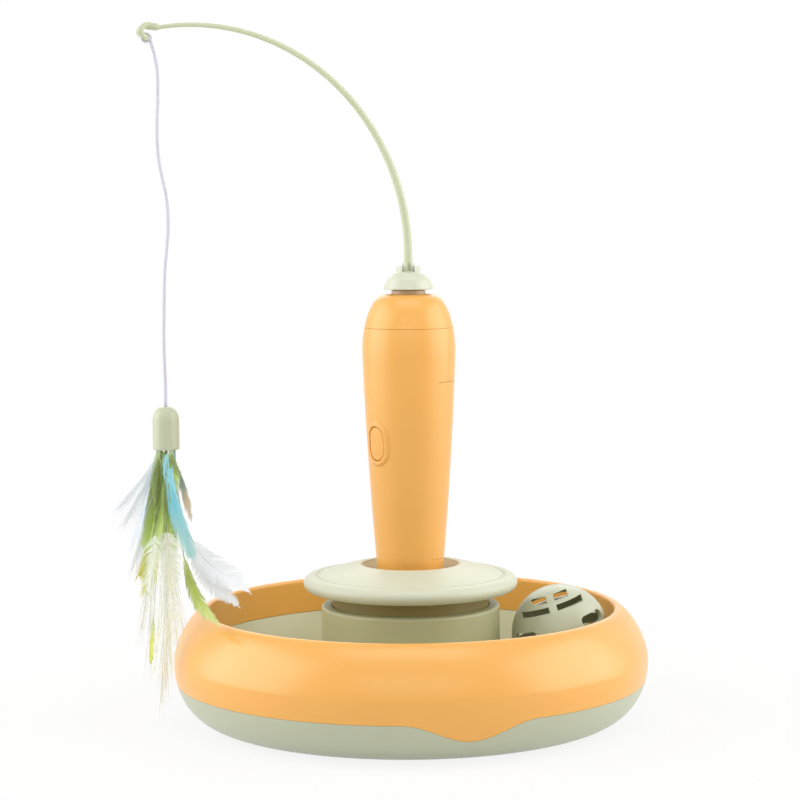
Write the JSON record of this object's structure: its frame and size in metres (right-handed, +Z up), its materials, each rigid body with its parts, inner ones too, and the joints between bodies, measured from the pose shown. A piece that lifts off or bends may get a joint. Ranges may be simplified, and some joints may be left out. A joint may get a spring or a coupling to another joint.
{
  "type": "automatic cat teaser with ball track",
  "caption": "Round ball-track base with a slotted rolling ball and a standing carrot-shaped motor wand, whose turning curved rod swings a string with a feather lure.",
  "frame": {"origin": "centre of the base, on the table plane under the foot ring", "axes": "+Z up along the wand, front of the picture towards -Y, ball at +X"},
  "size_m": [0.2655, 0.24, 0.3501],
  "materials": {
    "orange": "satin moulded plastic",
    "sage": "satin moulded plastic",
    "pale_sage": "satin moulded plastic",
    "tower_beige": "matt moulded plastic",
    "rod_sage": "smooth flexible plastic",
    "eyelet_sage": "smooth soft plastic",
    "cap_sage": "smooth soft plastic",
    "rubber": "matt rubber",
    "steel": "plated steel",
    "brass": "bright brass",
    "black_plastic": "matt plastic",
    "board_green": "lacquered circuit board",
    "cream_plastic": "matt moulded plastic",
    "cell_wrap": "plain shrink wrap",
    "gear_white": "natural gear plastic",
    "string_white": "braided string",
    "feather_olive": "dyed feather",
    "feather_lime": "dyed feather",
    "feather_turquoise": "dyed feather",
    "feather_brown": "natural feather",
    "feather_white": "natural feather",
    "feather_blue": "dyed feather",
    "feather_cream": "natural feather"
  },
  "bodies": {
    "base": {"base_pan": "sage", "rim_ring": "orange", "track_tray": "sage", "stand_plate": "pale_sage", "foot_ring": "rubber", "base_screws": "steel", "stand_screws": "steel"},
    "bell": {"ball_bell": "brass", "bell_pellet": "steel"},
    "ball": {"ball_upper": "sage", "ball_lower": "sage"},
    "wand": {"wand_body": "orange", "dome_cap": "orange", "control_board": "board_green", "tact_switch": "black_plastic", "battery_cradle": "cream_plastic", "battery_cells": "cell_wrap", "spring_contacts": "steel", "contact_plates": "steel", "motor_can": "steel", "gear_pins": "steel", "gear_frame_lower": "cream_plastic", "gear_frame_upper": "tower_beige", "frame_screws": "steel", "shaft_bush": "brass"},
    "cover": {"battery_cover": "orange", "cover_screw": "steel"},
    "button": {"button_cap": "orange", "switch_plunger": "black_plastic"},
    "pinion": {"motor_pinion": "brass"},
    "first": {"first_gear": "gear_white"},
    "second": {"second_gear": "gear_white"},
    "rotor": {"output_gear": "gear_white", "rotor_crown": "pale_sage", "rod": "rod_sage", "rod_eyelet": "eyelet_sage"},
    "loop": {"string_loop": "string_white"},
    "lure": {"teaser_string": "string_white", "feather_cap": "cap_sage", "plume_olive": "feather_olive", "plume_lime": "feather_lime", "plume_turquoise": "feather_turquoise", "hackle_brown": "feather_brown", "plume_white_left": "feather_white", "plume_pale_blue": "feather_blue", "plume_lime_left": "feather_lime", "plume_white_right": "feather_white", "plume_lime_right": "feather_lime", "hackle_cream": "feather_cream", "hackle_white": "feather_white"}
  },
  "joints": [
    {"name": "ball_orbit", "type": "hinge", "parent": "base", "child": "bell", "pos_m": [0, 0, 0.043], "axis": [0, 0, 1], "continuous": true},
    {"name": "ball_roll", "type": "hinge", "parent": "bell", "child": "ball", "pos_m": [0.076, 0, 0.043], "axis": [1, 0, 0], "continuous": true},
    {"name": "wand_lift", "type": "slide", "parent": "base", "child": "wand", "axis": [0, 0, 1], "range_m": [0, 0.042]},
    {"name": "cover_slide", "type": "slide", "parent": "wand", "child": "cover", "axis": [0.766, 0.6428, 0], "range_m": [0, 0.03]},
    {"name": "button_press", "type": "slide", "parent": "wand", "child": "button", "axis": [0.766, 0.6428, 0], "range_m": [0, 0.0006], "stiffness_N_per_m": 800},
    {"name": "rotor_spin", "type": "hinge", "parent": "wand", "child": "rotor", "pos_m": [0, 0, 0.218], "axis": [0, 0, 1], "continuous": true},
    {"name": "second_gear_spin", "type": "hinge", "parent": "wand", "child": "second", "pos_m": [-0.00735, -0.00617, 0.18], "axis": [0, 0, 1], "continuous": true},
    {"name": "first_gear_spin", "type": "hinge", "parent": "wand", "child": "first", "pos_m": [0.00167, -0.00945, 0.18], "axis": [0, 0, 1], "continuous": true},
    {"name": "motor_pinion_spin", "type": "hinge", "parent": "wand", "child": "pinion", "pos_m": [0.00902, -0.00328, 0.18], "axis": [0, 0, 1], "continuous": true},
    {"name": "string_side_swing", "type": "hinge", "parent": "rotor", "child": "loop", "pos_m": [-0.12638, -0.02686, 0.34396], "axis": [-0.9781, -0.2079, 0], "range_deg": [-45, 45]},
    {"name": "string_out_swing", "type": "hinge", "parent": "loop", "child": "lure", "pos_m": [-0.12638, -0.02686, 0.34086], "axis": [-0.2079, 0.9781, 0], "range_deg": [0, 45]}
  ],
  "couplings": [
    {"joint": "second_gear_spin", "follows": "rotor_spin", "ratio": -3},
    {"joint": "first_gear_spin", "follows": "rotor_spin", "ratio": 9},
    {"joint": "motor_pinion_spin", "follows": "rotor_spin", "ratio": -27},
    {"joint": "ball_roll", "follows": "ball_orbit", "ratio": -3.0769}
  ]
}
